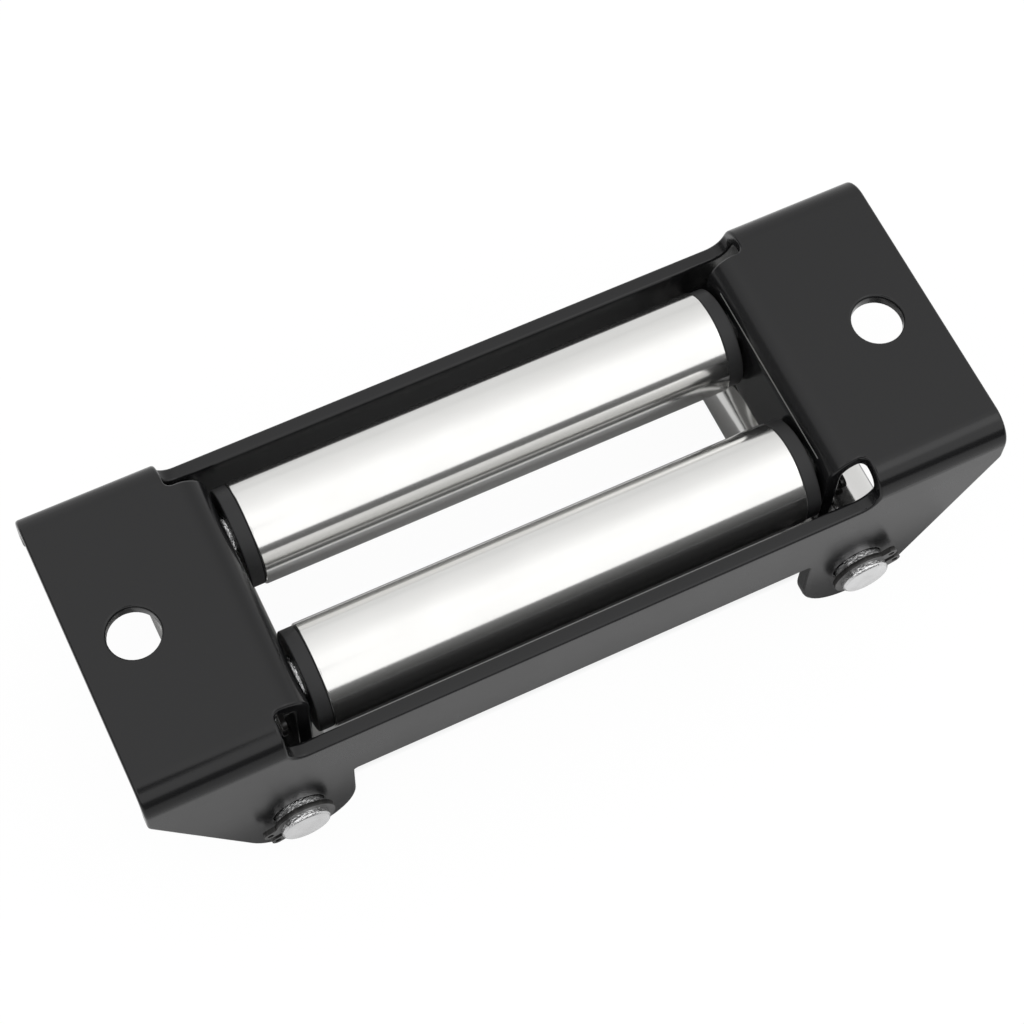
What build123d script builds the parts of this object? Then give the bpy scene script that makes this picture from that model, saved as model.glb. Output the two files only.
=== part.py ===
from build123d import *
from math import sqrt
import os

# Roller fairlead, lying plate up. X runs along the long rollers, Y across them and Z out of the
# mounting face. The origin is on that face, midway between the bolt holes. Sizes are in mm.

# sheet
sheet = 2.4
bend_outer = 4.7

# bolt holes, and how far the end plates reach from the middle of a hole
bolt_spacing = 124.0
bolt_hole = 8.2
hole_to_end = 9.1
hole_to_tab = 19.1

# rollers and the room round them
roller = 16.7
tube_wall = 1.5
rope_gap = 9.0
rail_gap = 2.2
roller_sink = 2.85
end_play = 0.75
foot_gap = 0.3

# tabs at the window ends, and the reliefs at the window corners
tab_margin = 1.2
tab_rise = 0.35
tab_corner = 2.5
relief_run = 1.2
relief_deep = 1.8
relief_round = 3.0
relief_inner_round = 1.1

# rails and ears of the long flanges
rail_cover = 1.05
ear_shoulder = 8.4
ear_corner = 1.8
ear_throat = 2.8
lobe_round = 9.5
lobe_sink = 1.55

# pins
pin = 8.0
pin_slip = 0.05
pin_out = 3.1
pin_chamfer = 0.35
short_pin_set = 3.2

# bushes
bush_flange = 2.4
bush_flange_step = 0.25
bush_barrel = 11.0
bush_run = 0.05

# circlips
clip_thick = 0.8
clip_land = 1.05
clip_back = 1.05
clip_front = 0.75
clip_gap = 1.3
lug_reach = 2.4
lug_round = 1.0
long_lug_rise = -0.1
short_lug_rise = 0.35

# Long rollers lie side by side with the rope's gap between them, their tops below the mounting face.
long_axis_y = (rope_gap + roller) / 2
long_axis_z = -roller_sink - roller / 2
roller_bottom = roller_sink + roller

# The rails stand outside the long rollers, and the tabs across their ends.
rail_inner = long_axis_y + roller / 2 + rail_gap
rail_drop = roller_bottom + rail_cover
frame_width = 2 * (rail_inner + sheet)
frame_length = bolt_spacing + 2 * hole_to_end
tab_face = bolt_spacing / 2 - hole_to_tab
tab_outer = tab_face + sheet
tab_width = frame_width - 2 * (bend_outer + tab_margin)
tab_drop = roller_bottom - tab_rise
bend_start = tab_face + bend_outer
relief_reach = bend_start + relief_run
relief_drop = bend_outer + relief_deep

# A short roller clears the outer corner of the tab's foot by the foot gap.
short_axis_x = tab_outer + short_pin_set
short_axis_z = -tab_drop - sqrt((roller / 2 + foot_gap) ** 2 - short_pin_set**2)
lobe_z = short_axis_z - lobe_sink
ear_bottom = lobe_z - lobe_round
ear_inner = short_axis_x - lobe_round

# fits and lengths
pin_hole = pin + 2 * pin_slip
tube_bore = roller - 2 * tube_wall
long_tube = 2 * (tab_face - end_play - bush_flange)
short_tube = 2 * (rail_inner - end_play - bush_flange)
lug_spread = clip_gap / 2 + lug_round

os.makedirs("parts", exist_ok=True)


def keep(part, name):
    part.label = name
    export_step(part, f"parts/{name}.step")


# The frame is one sheet. Its section across is a channel, which is run out along X and then
# trimmed to the side outline of rails and ears.
with BuildPart() as frame:
    with BuildSketch(Plane.YZ):
        with BuildLine():
            FilletPolyline(
                (-frame_width / 2, ear_bottom),
                (-frame_width / 2, 0),
                (frame_width / 2, 0),
                (frame_width / 2, ear_bottom),
                radius=bend_outer,
            )
            offset(amount=sheet, side=Side.RIGHT)
        make_face()
    extrude(amount=frame_length / 2, both=True)

    # An ear is the hull of its lobe, centred a little below the pin, and of the plate end's shoulder.
    with BuildSketch(Plane.XZ):
        with Locations((short_axis_x, lobe_z)):
            Circle(lobe_round)
        with Locations((ear_inner, 0)):
            Rectangle(frame_length / 2 - ear_inner, ear_shoulder, align=(Align.MIN, Align.MAX))
        make_hull()
        mirror(about=Plane.YZ)
        Rectangle(2 * short_axis_x, rail_drop, align=(Align.CENTER, Align.MAX))
        levels = vertices().group_by(Axis.Y)
        shoulders, throats = levels[-2], levels[-3]
        fillet(shoulders, ear_corner)
        fillet(throats, ear_throat)
    extrude(amount=frame_width, both=True, mode=Mode.INTERSECT)

    # The window between the tabs, then the reliefs that run over the bends into the flanges.
    with BuildSketch(Plane.XY):
        Rectangle(2 * bend_start, tab_width)
    extrude(amount=-sheet, mode=Mode.SUBTRACT)
    for side in (-1, 1):
        with BuildSketch(Plane.XZ.offset(-side * tab_width / 2)):
            Rectangle(2 * relief_reach, relief_drop, align=(Align.CENTER, Align.MAX))
            fillet(vertices().group_by(Axis.Y)[0], relief_round)
        extrude(amount=-side * frame_width / 2, mode=Mode.SUBTRACT)
        fillet(edges(Select.LAST).filter_by(Axis.Z).group_by(Axis.Z)[-1], relief_inner_round)

    # The tabs: bend and upright drawn from the side, run across the window.
    with BuildSketch(Plane.XZ):
        with BuildLine():
            FilletPolyline(
                (bend_start + sheet, 0),
                (tab_face, 0),
                (tab_face, -tab_drop),
                radius=bend_outer,
            )
            offset(amount=sheet, side=Side.LEFT)
        make_face()
        mirror(about=Plane.YZ)
    extrude(amount=tab_width / 2, both=True)
    fillet(edges(Select.LAST).filter_by(Axis.X).group_by(Axis.Z)[0], tab_corner)

    with Locations((-bolt_spacing / 2, 0), (bolt_spacing / 2, 0)):
        Hole(bolt_hole / 2, depth=sheet)
    with BuildSketch(Plane.YZ):
        with Locations((-long_axis_y, long_axis_z), (long_axis_y, long_axis_z)):
            Circle(pin_hole / 2)
    extrude(amount=tab_outer + sheet, both=True, mode=Mode.SUBTRACT)
    with BuildSketch(Plane.XZ):
        with Locations((-short_axis_x, short_axis_z), (short_axis_x, short_axis_z)):
            Circle(pin_hole / 2)
    extrude(amount=frame_width, both=True, mode=Mode.SUBTRACT)
keep(frame.part, "frame")


def along_x(y, z):
    # a plane whose own Y runs along X through the given place
    return Plane(origin=(0, y, z), x_dir=(0, 1, 0), z_dir=(0, 0, -1))


def along_y(x, z):
    # a plane whose own Y runs along Y through the given place
    return Plane(origin=(x, 0, z), x_dir=(1, 0, 0), z_dir=(0, 0, 1))


def make_pin(axis_plane, grip, name):
    # a plain pin through two walls whose outer faces are `grip` apart
    with BuildPart() as turned:
        with BuildSketch(axis_plane):
            Rectangle(pin / 2, grip + 2 * pin_out, align=(Align.MIN, Align.CENTER))
            chamfer(vertices().group_by(Axis.X)[-1], pin_chamfer)
        revolve(axis=Axis(axis_plane.origin, axis_plane.y_dir))
    keep(turned.part, name)


def make_tube(axis_plane, length, name):
    # a roller: one plain tube
    with BuildPart() as turned:
        with BuildSketch(axis_plane):
            with Locations((tube_bore / 2, 0)):
                Rectangle(tube_wall, length, align=(Align.MIN, Align.CENTER))
        revolve(axis=Axis(axis_plane.origin, axis_plane.y_dir))
    keep(turned.part, name)


def make_bush(axis_plane, length, end, name):
    # a flanged bush: the barrel fills the tube's bore, the flange lies on the tube's end
    with BuildPart() as turned:
        with BuildSketch(axis_plane):
            with Locations((pin / 2 + bush_run, end * length / 2)):
                Rectangle(
                    tube_bore / 2 - pin / 2 - bush_run,
                    bush_barrel,
                    align=(Align.MIN, Align.MAX if end > 0 else Align.MIN),
                )
                Rectangle(
                    roller / 2 - bush_flange_step - pin / 2 - bush_run,
                    bush_flange,
                    align=(Align.MIN, Align.MIN if end > 0 else Align.MAX),
                )
        revolve(axis=Axis(axis_plane.origin, axis_plane.y_dir))
    keep(turned.part, name)


def make_clip(face_plane, name):
    # an outside circlip: thick opposite the gap, with a lug on each side of it
    grow = (clip_back - clip_front) / 2
    lug_at = pin / 2 + lug_reach - lug_round
    with BuildPart() as ring:
        with BuildSketch(face_plane):
            with Locations((-grow, 0)):
                Circle(pin / 2 + clip_front + grow)
            with Locations((lug_at, lug_spread), (lug_at, -lug_spread)):
                Circle(lug_round)
            with Locations((pin / 2, 0)):
                Rectangle(lug_at - pin / 2, 2 * (lug_spread + lug_round), align=(Align.MIN, Align.CENTER))
            Circle(pin / 2, mode=Mode.SUBTRACT)
            Rectangle(2 * pin, clip_gap, align=(Align.MIN, Align.CENTER), mode=Mode.SUBTRACT)
        extrude(amount=clip_thick)
    keep(ring.part, name)


ends = {"left": -1, "right": 1}
rows = {"near": -1, "far": 1}

# Long rollers: pins through both tabs, along X.
for row, y_sign in rows.items():
    place = along_x(y_sign * long_axis_y, long_axis_z)
    make_pin(place, 2 * tab_outer, f"pin_long_{row}")
    make_tube(place, long_tube, f"roller_long_{row}")
    for end, x_sign in ends.items():
        make_bush(place, long_tube, x_sign, f"bush_long_{row}_{end}")
        seat = x_sign * (tab_outer + pin_out - clip_land)
        make_clip(
            Plane(
                origin=(seat, y_sign * long_axis_y, long_axis_z),
                x_dir=(0, y_sign, long_lug_rise),
                z_dir=(-x_sign, 0, 0),
            ),
            f"clip_long_{row}_{end}",
        )

# Short rollers: pins through the four ears, along Y.
for end, x_sign in ends.items():
    place = along_y(x_sign * short_axis_x, short_axis_z)
    make_pin(place, frame_width, f"pin_short_{end}")
    make_tube(place, short_tube, f"roller_short_{end}")
    for row, y_sign in rows.items():
        make_bush(place, short_tube, y_sign, f"bush_short_{end}_{row}")
        seat = y_sign * (frame_width / 2 + pin_out - clip_land)
        make_clip(
            Plane(
                origin=(x_sign * short_axis_x, seat, short_axis_z),
                x_dir=(x_sign, 0, x_sign * short_lug_rise),
                z_dir=(0, -y_sign, 0),
            ),
            f"clip_short_{end}_{row}",
        )
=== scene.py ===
import math

import bpy
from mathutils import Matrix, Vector


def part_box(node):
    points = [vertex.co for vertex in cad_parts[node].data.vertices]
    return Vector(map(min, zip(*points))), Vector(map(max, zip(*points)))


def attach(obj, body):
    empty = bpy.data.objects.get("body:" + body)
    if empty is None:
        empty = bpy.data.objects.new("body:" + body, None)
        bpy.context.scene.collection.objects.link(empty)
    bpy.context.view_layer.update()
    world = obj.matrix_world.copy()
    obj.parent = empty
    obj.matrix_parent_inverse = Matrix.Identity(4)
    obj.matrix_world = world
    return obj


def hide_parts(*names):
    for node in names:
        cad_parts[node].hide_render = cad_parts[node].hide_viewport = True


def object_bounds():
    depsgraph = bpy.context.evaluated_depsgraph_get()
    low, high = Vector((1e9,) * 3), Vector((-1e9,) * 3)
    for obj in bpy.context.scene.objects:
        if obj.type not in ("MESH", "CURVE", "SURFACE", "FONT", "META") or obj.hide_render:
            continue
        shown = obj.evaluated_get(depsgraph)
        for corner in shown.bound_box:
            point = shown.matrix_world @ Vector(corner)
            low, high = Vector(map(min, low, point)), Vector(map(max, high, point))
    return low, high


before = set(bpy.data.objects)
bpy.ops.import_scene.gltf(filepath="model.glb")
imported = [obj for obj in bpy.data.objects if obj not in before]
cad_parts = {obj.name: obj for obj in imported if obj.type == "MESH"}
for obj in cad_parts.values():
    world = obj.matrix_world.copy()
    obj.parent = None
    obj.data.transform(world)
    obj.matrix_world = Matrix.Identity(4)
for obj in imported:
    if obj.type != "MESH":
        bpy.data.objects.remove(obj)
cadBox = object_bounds()

mm = 0.001
rows = {"near": -1, "far": 1}
ends = {"left": -1, "right": 1}


# Shader nodes

class Reading:
    # a node's output that can be added, multiplied and so on
    def __init__(self, nodes, socket):
        self.nodes = nodes
        self.socket = socket

    def maths(self, operation, first, second):
        return self.nodes.add("ShaderNodeMath", {"operation": operation}, {0: first, 1: second})

    def __add__(self, other):
        return self.maths("ADD", self, other)

    def __radd__(self, other):
        return self.maths("ADD", other, self)

    def __sub__(self, other):
        return self.maths("SUBTRACT", self, other)

    def __rsub__(self, other):
        return self.maths("SUBTRACT", other, self)

    def __mul__(self, other):
        return self.maths("MULTIPLY", self, other)

    def __rmul__(self, other):
        return self.maths("MULTIPLY", other, self)


class Nodes:
    # the node tree of one material or of the world
    def __init__(self, owner):
        owner.use_nodes = True
        self.tree = owner.node_tree
        self.tree.nodes.clear()

    def add(self, kind, settings=None, sockets=None, output=0):
        node = self.tree.nodes.new(kind)
        for setting, value in (settings or {}).items():
            if setting == "stops":
                stops = node.color_ramp.elements
                while len(stops) < len(value):
                    stops.new(1.0)
                for stop, (place, grey) in zip(stops, value):
                    stop.position = place
                    stop.color = (grey, grey, grey, 1.0)
            else:
                setattr(node, setting, value)
        for socket, value in (sockets or {}).items():
            if isinstance(value, Reading):
                self.tree.links.new(value.socket, node.inputs[socket])
            else:
                node.inputs[socket].default_value = value
        return Reading(self, node.outputs[output]) if node.outputs else None


def newMaterial(name):
    material = bpy.data.materials.new(name)
    return material, Nodes(material)


def placeOn(nodes):
    return nodes.add("ShaderNodeTexCoord", output="Object")


def partOf(nodes, vector, axis):
    return nodes.add("ShaderNodeSeparateXYZ", None, {"Vector": vector}, axis)


def noise(nodes, place, scale, detail):
    return nodes.add("ShaderNodeTexNoise", None, {"Vector": place, "Scale": scale, "Detail": detail})


def tint(nodes, share, first, second, mode="MIX"):
    settings = {"data_type": "RGBA", "blend_type": mode}
    return nodes.add("ShaderNodeMix", settings, {"Factor": share, "A": first, "B": second}, 2)


def bumped(nodes, height):
    # the height is in metres, so the bump has its real depth
    return nodes.add("ShaderNodeBump", None, {"Strength": 1.0, "Distance": 1.0, "Height": height})


def coverWith(nodes, shader):
    nodes.add("ShaderNodeOutputMaterial", None, {"Surface": shader})


# Meshes

cleaning = {
    "mergeWithin": 0.002 * mm,
    "flatWithin": 0.8,  # degrees
    "edgeAbove": 38,  # degrees
    "faceWeight": 60,
}


def selectOnly(piece):
    bpy.ops.object.select_all(action="DESELECT")
    piece.select_set(True)
    bpy.context.view_layer.objects.active = piece


def pieceName(node):
    first, *rest = node.split("_")
    return first + "".join(word.capitalize() for word in rest)


def mergedCopy(node, name=None):
    # a node's mesh as a new piece, its loose triangles merged and its flat faces made whole again
    piece = bpy.data.objects.new(name or pieceName(node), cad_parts[node].data.copy())
    bpy.context.scene.collection.objects.link(piece)
    piece.data.materials.clear()
    selectOnly(piece)
    bpy.ops.object.mode_set(mode="EDIT")
    bpy.ops.mesh.select_all(action="SELECT")
    bpy.ops.mesh.remove_doubles(threshold=cleaning["mergeWithin"])
    bpy.ops.mesh.customdata_custom_splitnormals_clear()
    bpy.ops.mesh.dissolve_limited(angle_limit=math.radians(cleaning["flatWithin"]))
    bpy.ops.object.mode_set(mode="OBJECT")
    return piece


def apply(piece, modifier):
    selectOnly(piece)
    bpy.ops.object.modifier_apply(modifier=modifier.name)


def roundEdges(piece, look, material=-1, clamp=True):
    bevel = piece.modifiers.new("edges", "BEVEL")
    bevel.width = look["edgeRound"]
    bevel.segments = look["edgeSteps"]
    bevel.limit_method = "ANGLE"
    bevel.angle_limit = math.radians(cleaning["edgeAbove"])
    bevel.miter_outer = "MITER_ARC"
    bevel.use_clamp_overlap = clamp
    bevel.material = material
    apply(piece, bevel)


def smooth(piece, look):
    selectOnly(piece)
    bpy.ops.object.shade_smooth_by_angle(angle=math.radians(look["smoothUnder"]))
    weighted = piece.modifiers.new("normals", "WEIGHTED_NORMAL")
    weighted.mode = "FACE_AREA"
    weighted.weight = cleaning["faceWeight"]
    weighted.keep_sharp = True
    apply(piece, weighted)


def dress(piece, node, body, slot, *materials):
    for index, material in enumerate(materials):
        if index < len(piece.data.materials):
            piece.data.materials[index] = material
        else:
            piece.data.materials.append(material)
    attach(piece, body)
    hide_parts(node)


# Frame: one folded sheet under a satin black powder coat

frameLook = {
    "colour": (0.0062, 0.0062, 0.0066, 1.0),
    "edgeColour": (0.007, 0.007, 0.0074, 1.0),
    # a painted highlight: the pale line along the bend of each tab
    "paintedHighlightColour": (0.16, 0.16, 0.157, 1.0),
    "cloudColour": (0.6, 0.6, 0.6, 1.0),
    "cloudShare": 0.3,
    "ior": 1.36,
    "roughness": 0.2,
    "edgeRoughness": 0.18,
    "sideRoughness": 0.29,
    "roughnessSpread": 0.06,
    "cloudScale": 90.0,
    "peelScale": 480.0,
    "peelHeight": 0.004 * mm,
    "grainScale": 5200.0,
    "grainHeight": 0.0006 * mm,
    "edgeRound": 0.5 * mm,
    "edgeSteps": 3,
    "smoothUnder": 40,
    "sideFrom": 25.45 * mm,
    "sideFace": 25.78 * mm,
    # the painted highlight line: its middle, its half widths, and the cloud level above which it shows
    "paintedHighlightPlace": (43.2 * mm, 0.0, -3.3 * mm),
    "paintedHighlightReach": (0.5 * mm, 16.0 * mm, 0.13 * mm),
    "paintedHighlightAbove": 0.4,
}


def powderCoat(name, colour, roughness, look):
    material, nodes = newMaterial(name)
    place = placeOn(nodes)
    cloud = noise(nodes, place, look["cloudScale"], 3.0)
    peel = noise(nodes, place, look["peelScale"], 1.0)
    grain = noise(nodes, place, look["grainScale"], 2.0)

    # the upright sides are duller, and a thin pale line, broken into patches, is painted along the bend of
    # each tab: a painted highlight
    size = nodes.add("ShaderNodeVectorMath", {"operation": "ABSOLUTE"}, {0: place})
    sides = nodes.add("ShaderNodeMapRange", None, {
        "Value": partOf(nodes, size, "Y"),
        "From Min": look["sideFrom"],
        "From Max": look["sideFace"],
    })
    paintedHighlight = cloud.maths("GREATER_THAN", cloud, look["paintedHighlightAbove"])
    for axis, middle, reach in zip("XYZ", look["paintedHighlightPlace"], look["paintedHighlightReach"]):
        reading = partOf(nodes, size if axis == "X" else place, axis)
        band = {0: reading, 1: middle, 2: reach}
        paintedHighlight = paintedHighlight * nodes.add("ShaderNodeMath", {"operation": "COMPARE"}, band)

    tone = tint(nodes, paintedHighlight, colour, look["paintedHighlightColour"])
    uneven = (cloud - 0.5) * look["roughnessSpread"] + (grain - 0.5) * look["roughnessSpread"]
    coverWith(nodes, nodes.add("ShaderNodeBsdfPrincipled", None, {
        "Base Color": tint(nodes, cloud * look["cloudShare"], tone, look["cloudColour"], "MULTIPLY"),
        "Roughness": roughness + sides * (look["sideRoughness"] - roughness) + uneven,
        "IOR": look["ior"],
        "Normal": bumped(nodes, peel * look["peelHeight"] + grain * look["grainHeight"]),
    }))
    return material


frameCoat = powderCoat("frameCoat", frameLook["colour"], frameLook["roughness"], frameLook)
frameEdgeCoat = powderCoat("frameEdgeCoat", frameLook["edgeColour"], frameLook["edgeRoughness"], frameLook)

sheet = mergedCopy("frame", "sheetFrame")
sheet.data.materials.append(frameCoat)
sheet.data.materials.append(frameEdgeCoat)
roundEdges(sheet, frameLook, material=1, clamp=False)  # the clamp would take nearly all of the rounding away
smooth(sheet, frameLook)
dress(sheet, "frame", "frame_body", "frame_coat", frameCoat, frameEdgeCoat)
print("frame sheet:", len(sheet.data.polygons), "faces")


# Rollers: drawn tube, bright zinc plate, lightly polished round its girth

tubeLook = {
    "colour": (0.675, 0.672, 0.66, 1.0),
    "dullColour": (0.62, 0.617, 0.605, 1.0),
    "metallic": 0.97,
    "roughness": 0.13,
    "streakSpread": 0.05,
    "cloudSpread": 0.04,
    "ringScale": (9000.0, 350.0),  # along the roller, and across it
    "streakScale": (25.0, 1600.0),
    "cloudScale": (110.0, 180.0),
    "ringHeight": 0.00035 * mm,
    "streakHeight": 0.0012 * mm,
    "edgeRound": 0.3 * mm,
    "edgeSteps": 3,
    "smoothUnder": 40,
}


def zincTube(name, axis, look):
    # axis is the roller's own direction, 0 for X and 1 for Y
    material, nodes = newMaterial(name)
    place = placeOn(nodes)

    def stretched(scale, detail):
        along, across = scale
        scales = [across, across, across]
        scales[axis] = along
        grid = nodes.add("ShaderNodeMapping", None, {"Vector": place, "Scale": scales})
        return noise(nodes, grid, 1.0, detail)

    rings = stretched(look["ringScale"], 2.0)
    streaks = stretched(look["streakScale"], 2.0)
    clouds = stretched(look["cloudScale"], 4.0)
    uneven = (streaks - 0.5) * look["streakSpread"] + (clouds - 0.5) * look["cloudSpread"]
    coverWith(nodes, nodes.add("ShaderNodeBsdfPrincipled", None, {
        "Base Color": tint(nodes, clouds, look["colour"], look["dullColour"]),
        "Metallic": look["metallic"],
        "Roughness": look["roughness"] + uneven,
        "Normal": bumped(nodes, rings * look["ringHeight"] + streaks * look["streakHeight"]),
    }))
    return material


longTubeZinc = zincTube("longTubeZinc", 0, tubeLook)
shortTubeZinc = zincTube("shortTubeZinc", 1, tubeLook)


def makeRoller(node, body, material):
    tube = mergedCopy(node)
    roundEdges(tube, tubeLook)
    smooth(tube, tubeLook)
    dress(tube, node, body, "zinc_tube", material)


for row in rows:
    makeRoller(f"roller_long_{row}", f"long_roller_{row}", longTubeZinc)
for end in ends:
    makeRoller(f"roller_short_{end}", f"short_roller_{end}", shortTubeZinc)
print("rollers finished")


# Bushes: moulded black nylon

bushLook = {
    "colour": (0.023, 0.023, 0.0235, 1.0),
    "specular": 0.15,
    "roughness": 0.45,
    "roughnessSpread": 0.12,
    "cloudScale": 260.0,
    "grainScale": 3800.0,
    "grainHeight": 0.002 * mm,
    "edgeRound": 0.25 * mm,
    "edgeSteps": 3,
    "smoothUnder": 40,
}


def blackNylon(name, look):
    material, nodes = newMaterial(name)
    place = placeOn(nodes)
    grain = noise(nodes, place, look["grainScale"], 3.0)
    cloud = noise(nodes, place, look["cloudScale"], 2.0)
    coverWith(nodes, nodes.add("ShaderNodeBsdfPrincipled", None, {
        "Base Color": look["colour"],
        "Specular IOR Level": look["specular"],
        "Roughness": look["roughness"] + (cloud - 0.5) * look["roughnessSpread"],
        "Normal": bumped(nodes, grain * look["grainHeight"]),
    }))
    return material


bushNylon = blackNylon("bushNylon", bushLook)


def makeBush(node, body):
    bush = mergedCopy(node)
    roundEdges(bush, bushLook)
    smooth(bush, bushLook)
    dress(bush, node, body, "bush_plastic", bushNylon)


for row in rows:
    for end in ends:
        makeBush(f"bush_long_{row}_{end}", f"long_roller_{row}")
        makeBush(f"bush_short_{end}_{row}", f"short_roller_{end}")
print("bushes finished")


# Pins: bright zinc plated bar

pinLook = {
    "colour": (0.7, 0.7, 0.705, 1.0),
    "dullColour": (0.6, 0.6, 0.6, 1.0),
    "roughness": 0.24,
    "roughnessSpread": 0.14,
    "cloudScale": 420.0,
    "pitScale": 2600.0,
    "facePit": 0.004 * mm,
    "shankPit": 0.1 * mm,
    "faceDepth": 0.12 * mm,
    "edgeRound": 0.08 * mm,
    "edgeSteps": 2,
    "smoothUnder": 30,
}


def zincPin(name, axis, node, look):
    # the end faces are cut flat, the shank is pitted all round
    material, nodes = newMaterial(name)
    low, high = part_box(node)
    place = placeOn(nodes)
    pits = noise(nodes, place, look["pitScale"], 2.0)
    cloud = noise(nodes, place, look["cloudScale"], 2.0)
    along = partOf(nodes, place, axis)
    faceAt = getattr(high, axis.lower()) - look["faceDepth"]
    shank = along.maths("LESS_THAN", along.maths("ABSOLUTE", along, 0.0), faceAt)
    height = pits * (look["facePit"] + shank * (look["shankPit"] - look["facePit"]))
    coverWith(nodes, nodes.add("ShaderNodeBsdfPrincipled", None, {
        "Base Color": tint(nodes, cloud, look["colour"], look["dullColour"]),
        "Metallic": 1.0,
        "Roughness": look["roughness"] + (cloud - 0.5) * look["roughnessSpread"],
        "Normal": bumped(nodes, height),
    }))
    return material


longPinZinc = zincPin("longPinZinc", "X", "pin_long_near", pinLook)
shortPinZinc = zincPin("shortPinZinc", "Y", "pin_short_left", pinLook)


def makePin(node, material):
    pin = mergedCopy(node)
    roundEdges(pin, pinLook)
    smooth(pin, pinLook)
    dress(pin, node, "frame_body", "zinc_pin", material)


for row in rows:
    makePin(f"pin_long_{row}", longPinZinc)
for end in ends:
    makePin(f"pin_short_{end}", shortPinZinc)
print("pins finished")


# Circlips: blackened spring steel, a round hole in each lug for the pliers

clipLook = {
    "colour": (0.014, 0.0135, 0.013, 1.0),
    "wornColour": (0.04, 0.038, 0.036, 1.0),
    "wornStops": [(0.55, 0.0), (0.8, 1.0)],
    "roughness": 0.34,
    "roughnessSpread": 0.14,
    "cloudScale": 700.0,
    "grainScale": 4500.0,
    "grainHeight": 0.003 * mm,
    "edgeRound": 0.1 * mm,
    "edgeSteps": 2,
    "smoothUnder": 30,
    "lugAt": 5.4 * mm,  # from the pin's axis
    "lugSpread": 1.65 * mm,  # each side of the gap's middle
    "lugHole": 0.5 * mm,
    "holeSides": 20,
    "drillLength": 6 * mm,
    "longLugRise": -0.1,
    "shortLugRise": 0.35,
}


def springSteel(name, look):
    material, nodes = newMaterial(name)
    place = placeOn(nodes)
    cloud = noise(nodes, place, look["cloudScale"], 3.0)
    grain = noise(nodes, place, look["grainScale"], 2.0)
    worn = nodes.add("ShaderNodeValToRGB", {"stops": look["wornStops"]}, {"Fac": cloud})
    coverWith(nodes, nodes.add("ShaderNodeBsdfPrincipled", None, {
        "Base Color": tint(nodes, worn, look["colour"], look["wornColour"]),
        "Roughness": look["roughness"] + (cloud - 0.5) * look["roughnessSpread"],
        "Normal": bumped(nodes, grain * look["grainHeight"]),
    }))
    return material


clipSteel = springSteel("clipSteel", clipLook)


def makeClip(node, centre, outward, toLugs):
    clip = mergedCopy(node)
    across = outward.cross(toLugs)
    for side in (-1, 1):
        bpy.ops.object.select_all(action="DESELECT")
        bpy.ops.mesh.primitive_cylinder_add(
            vertices=clipLook["holeSides"],
            radius=clipLook["lugHole"],
            depth=clipLook["drillLength"],
            location=centre + toLugs * clipLook["lugAt"] + across * side * clipLook["lugSpread"],
            rotation=outward.to_track_quat("Z", "Y").to_euler(),
        )
        drill = bpy.context.object
        cut = clip.modifiers.new("hole", "BOOLEAN")
        cut.object = drill
        cut.solver = "EXACT"
        apply(clip, cut)
        bpy.data.objects.remove(drill)
    roundEdges(clip, clipLook)
    smooth(clip, clipLook)
    dress(clip, node, "frame_body", "clip_steel", clipSteel)


def middleOf(node):
    low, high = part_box(node)
    return (low + high) / 2


for row, rowSign in rows.items():
    for end, endSign in ends.items():
        longAxis = middleOf(f"pin_long_{row}")
        makeClip(
            f"clip_long_{row}_{end}",
            Vector((middleOf(f"clip_long_{row}_{end}").x, longAxis.y, longAxis.z)),
            Vector((endSign, 0, 0)),
            Vector((0, rowSign, clipLook["longLugRise"])).normalized(),
        )
        shortAxis = middleOf(f"pin_short_{end}")
        makeClip(
            f"clip_short_{end}_{row}",
            Vector((shortAxis.x, middleOf(f"clip_short_{end}_{row}").y, shortAxis.z)),
            Vector((0, rowSign, 0)),
            Vector((endSign, 0, endSign * clipLook["shortLugRise"])).normalized(),
        )
print("circlips finished")


# Studio: pale floor, white surroundings, one wide glowing panel overhead and dark screens in front

def glow(nodes, strength):
    return nodes.add("ShaderNodeEmission", None, {"Color": (1.0, 1.0, 1.0, 1.0), "Strength": strength})


def blend(nodes, share, first, second):
    return nodes.add("ShaderNodeMixShader", None, {0: share, 1: first, 2: second})


def fade(nodes, axis, start, end):
    # 0 at the start and 1 at the end, measured along one axis of the object
    along = partOf(nodes, placeOn(nodes), axis)
    return nodes.add("ShaderNodeMapRange", None, {"Value": along, "From Min": start, "From Max": end})


def cameraRays(nodes):
    return nodes.add("ShaderNodeLightPath", output="Is Camera Ray")


def mirroredRays(nodes):
    glossy = nodes.add("ShaderNodeLightPath", output="Is Glossy Ray")
    return glossy.maths("MAXIMUM", glossy, nodes.add("ShaderNodeLightPath", output="Is Transmission Ray"))


def background(nodes, strength):
    return nodes.add("ShaderNodeBackground", None, {"Color": (1.0, 1.0, 1.0, 1.0), "Strength": strength})


surroundingsLook = {
    "seen": 1.0,
    "light": 0.6,
}

world = bpy.data.worlds.new("surroundings")
bpy.context.scene.world = world
nodes = Nodes(world)
seen = cameraRays(nodes)
white = background(nodes, surroundingsLook["seen"])
light = background(nodes, surroundingsLook["light"])
nodes.add("ShaderNodeOutputWorld", None, {
    "Surface": blend(nodes, seen.maths("MAXIMUM", seen, mirroredRays(nodes)), light, white),
})

floorLook = {
    "below": 0.1 * mm,
    "size": 8.0,
    "colour": (0.9, 0.9, 0.9, 1.0),
    "glowShare": 0.96,
    "glow": 1.0,
    "shadow": 0.2,
    "shadowFront": (-20.5 * mm, -14 * mm),
    "shadowBack": (-3.5 * mm, -10.5 * mm),
    "shadowLeft": (-46 * mm, -38 * mm),
    "shadowRight": (57 * mm, 51.5 * mm),
    "mirroredLeft": 0.85,
    "mirroredRight": 1.0,
    "mirroredFade": (-70 * mm, 80 * mm),
}

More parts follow.
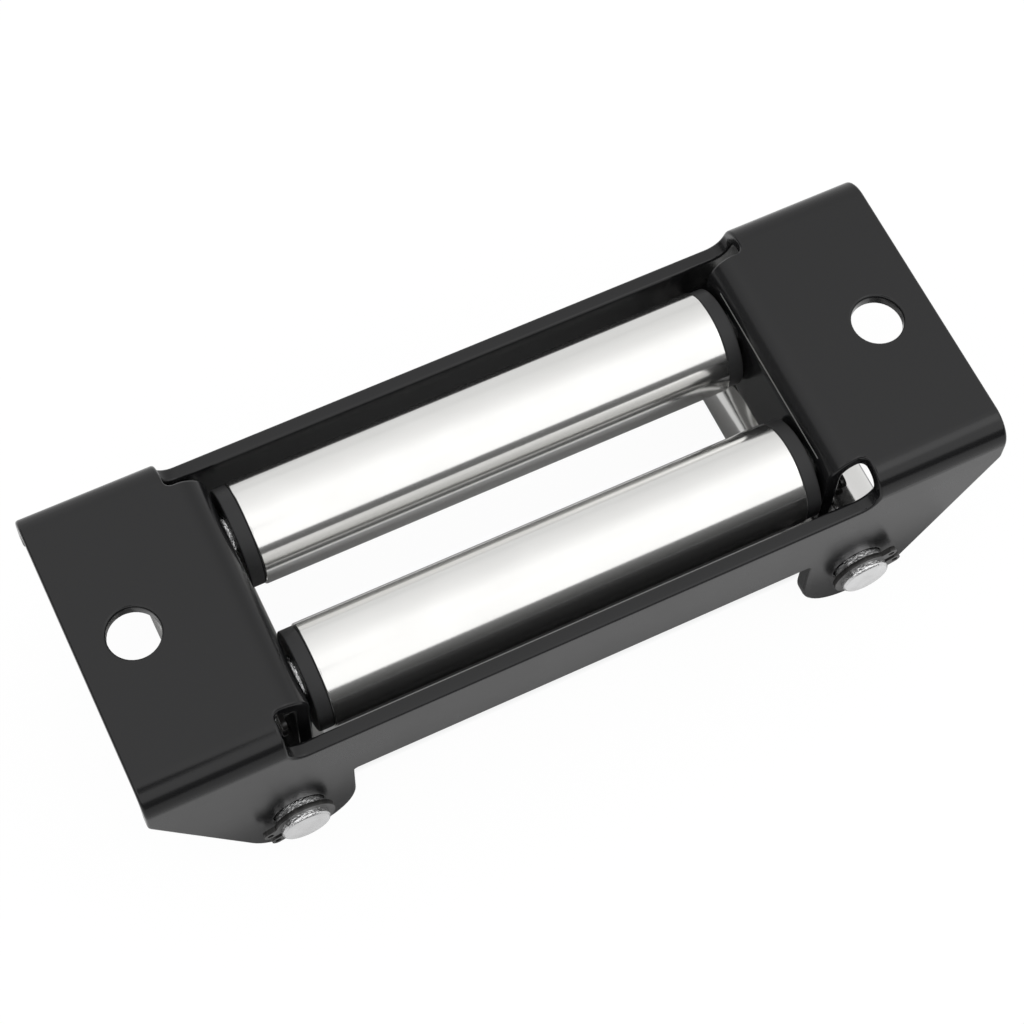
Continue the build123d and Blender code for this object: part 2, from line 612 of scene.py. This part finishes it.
bpy.ops.object.select_all(action="DESELECT")
bpy.ops.mesh.primitive_plane_add(size=floorLook["size"], location=(0, 0, cadBox[0].z - floorLook["below"]))
floor = bpy.context.object
floor.name = "floor"
floorPaper, nodes = newMaterial("floorPaper")
paper = nodes.add("ShaderNodeBsdfDiffuse", None, {"Color": floorLook["colour"]})
# In mirrors the floor glows, 0.85 on the left and 1.0 on the right: painted light, a falloff drawn into the
# glow
mirrored = blend(
    nodes, fade(nodes, "X", *floorLook["mirroredFade"]),
    glow(nodes, floorLook["mirroredLeft"]), glow(nodes, floorLook["mirroredRight"]),
)
seen = cameraRays(nodes)
lit = blend(nodes, mirroredRays(nodes), paper, mirrored)

# No light casts this: the floor is painted dark under the near roller, so that no white shows in the
# slit beside the near rail. From low down the patch is a thin dark line.
shadow = fade(nodes, "Y", *floorLook["shadowFront"]) * fade(nodes, "Y", *floorLook["shadowBack"])
shadow = shadow * fade(nodes, "X", *floorLook["shadowLeft"]) * fade(nodes, "X", *floorLook["shadowRight"])
shaded = blend(nodes, shadow, glow(nodes, floorLook["glow"]), glow(nodes, floorLook["shadow"]))
coverWith(nodes, blend(nodes, seen * floorLook["glowShare"], lit, shaded))
floor.data.materials.append(floorPaper)


def screen(name, look):
    # a flat sheet of the studio, hidden from the camera
    turn = [math.radians(angle) for angle in look["turn"]]
    bpy.ops.object.select_all(action="DESELECT")
    bpy.ops.mesh.primitive_plane_add(size=1.0, location=look["place"], rotation=turn)
    panel = bpy.context.object
    panel.name = name
    panel.scale = (*look["size"], 1.0)
    bpy.ops.object.transform_apply(location=False, rotation=False, scale=True)
    panel.visible_camera = False
    material, nodes = newMaterial(name + "Cloth")
    panel.data.materials.append(material)
    return panel, nodes


# The panel overhead is brightest above the front and fades towards the back and the right.
panelLook = {
    "place": (0.0, 0.4, 0.7),
    "turn": (0.0, 0.0, 0.0),
    "size": (4.4, 3.66),
    "plain": 0.88,
    "bright": 1.56,
    "backFade": (1.83, -0.4),
    "backStops": [(0.0, 0.3), (0.55, 0.45), (0.71, 0.54), (0.81, 0.64), (0.9, 0.82), (0.97, 1.0)],
    "sideFade": (-1.2, 0.8),
    "sideStops": [(0.0, 0.2), (0.32, 0.6), (0.5, 1.0), (0.6, 0.84), (0.77, 0.56), (0.95, 0.25)],
    "sideGain": 1.25,
    "frontFade": (0.1, -0.3),
}

panel, nodes = screen("overheadPanel", panelLook)
backward = fade(nodes, "Y", *panelLook["backFade"])
backward = nodes.add("ShaderNodeValToRGB", {"stops": panelLook["backStops"]}, {"Fac": backward})
sideways = fade(nodes, "X", *panelLook["sideFade"])
sideways = nodes.add("ShaderNodeValToRGB", {"stops": panelLook["sideStops"]}, {"Fac": sideways})
front = fade(nodes, "Y", *panelLook["frontFade"])
sideways = sideways * panelLook["sideGain"] * (1.0 - front) + front
plain = glow(nodes, panelLook["plain"])
bright = glow(nodes, panelLook["bright"])
coverWith(nodes, blend(nodes, backward * sideways, plain, bright))

# The screen in front is nearly black at the floor and a little lighter at its top.
frontLook = {
    "place": (0.0, -1.44, 0.33),
    "turn": (90, 0.0, 0.0),
    "size": (4.4, 0.74),
    "low": 0.05,
    "high": 0.2,
    "fade": (-0.3, 0.3),
}

panel, nodes = screen("frontScreen", frontLook)
panel.visible_diffuse = False
panel.visible_shadow = False
upward = fade(nodes, "Y", *frontLook["fade"])
coverWith(nodes, blend(nodes, upward, glow(nodes, frontLook["low"]), glow(nodes, frontLook["high"])))

lampLook = {
    "place": (0.31, -0.21, 0.66),
    "size": (0.34, 0.26),
    "power": 0.3,
}

lampData = bpy.data.lights.new("stripLamp", "AREA")
lampData.shape = "RECTANGLE"
lampData.size, lampData.size_y = lampLook["size"]
lampData.energy = lampLook["power"]
lamp = bpy.data.objects.new("stripLamp", lampData)
bpy.context.scene.collection.objects.link(lamp)
lamp.location = lampLook["place"]
lamp.rotation_euler = (-lamp.location).to_track_quat("-Z", "Y").to_euler()  # aimed at the origin
lamp.visible_camera = False

# Grey sheets that are seen in mirroring surfaces alone, so they take no light from the object. The two low
# ones are painted shade.
greyScreens = {
    "sideScreen": {
        "place": (-0.5, 0.1, 0.11),
        "turn": (0.0, 90, 0.0),
        "size": (0.32, 1.1),
        "grey": 0.3,
    },
    "cameraShade": {
        "place": (-0.0843, -0.1535, 0.3535),
        "turn": (22.5, 0.0, -28.6),
        "size": (0.125, 0.125),
        "grey": 0.1,
    },
    # painted shade: a dark sheet hung under the near rail, where there is only shade, for the near roller to
    # mirror
    "gapShade": {
        "place": (0.0, -21.7 * mm, -22 * mm),
        "turn": (0.0, 0.0, 0.0),
        "size": (78 * mm, 4.8 * mm),
        "grey": 0.12,
    },
    # painted shade: a darker paper under the whole part, mirrored where the floor lies in the part's shadow
    "shadePaper": {
        "place": (0.0, -2.75 * mm, cadBox[0].z - 0.05 * mm),
        "turn": (0.0, 0.0, 0.0),
        "size": (140 * mm, 56.5 * mm),
        "grey": 0.4,
    },
}

for name, look in greyScreens.items():
    panel, nodes = screen(name, look)
    panel.visible_diffuse = False
    panel.visible_shadow = False
    greyCloth = (look["grey"], look["grey"], look["grey"], 1.0)
    coverWith(nodes, nodes.add("ShaderNodeBsdfDiffuse", None, {"Color": greyCloth}))

cameraLook = {
    "place": (-0.083763, -0.152663, 0.351227),
    "turn": (25.429, -1.372, -25.698),
    "lens": 91.81,
    "sensor": 36.0,
    "nearest": 0.01,
}

cameraData = bpy.data.cameras.new("camera")
cameraData.lens = cameraLook["lens"]
cameraData.sensor_width = cameraLook["sensor"]
cameraData.clip_start = cameraLook["nearest"]
camera = bpy.data.objects.new("camera", cameraData)
bpy.context.scene.collection.objects.link(camera)
camera.location = cameraLook["place"]
camera.rotation_euler = [math.radians(angle) for angle in cameraLook["turn"]]
bpy.context.scene.camera = camera
bpy.context.scene.view_settings.view_transform = "Standard"
print("studio set")
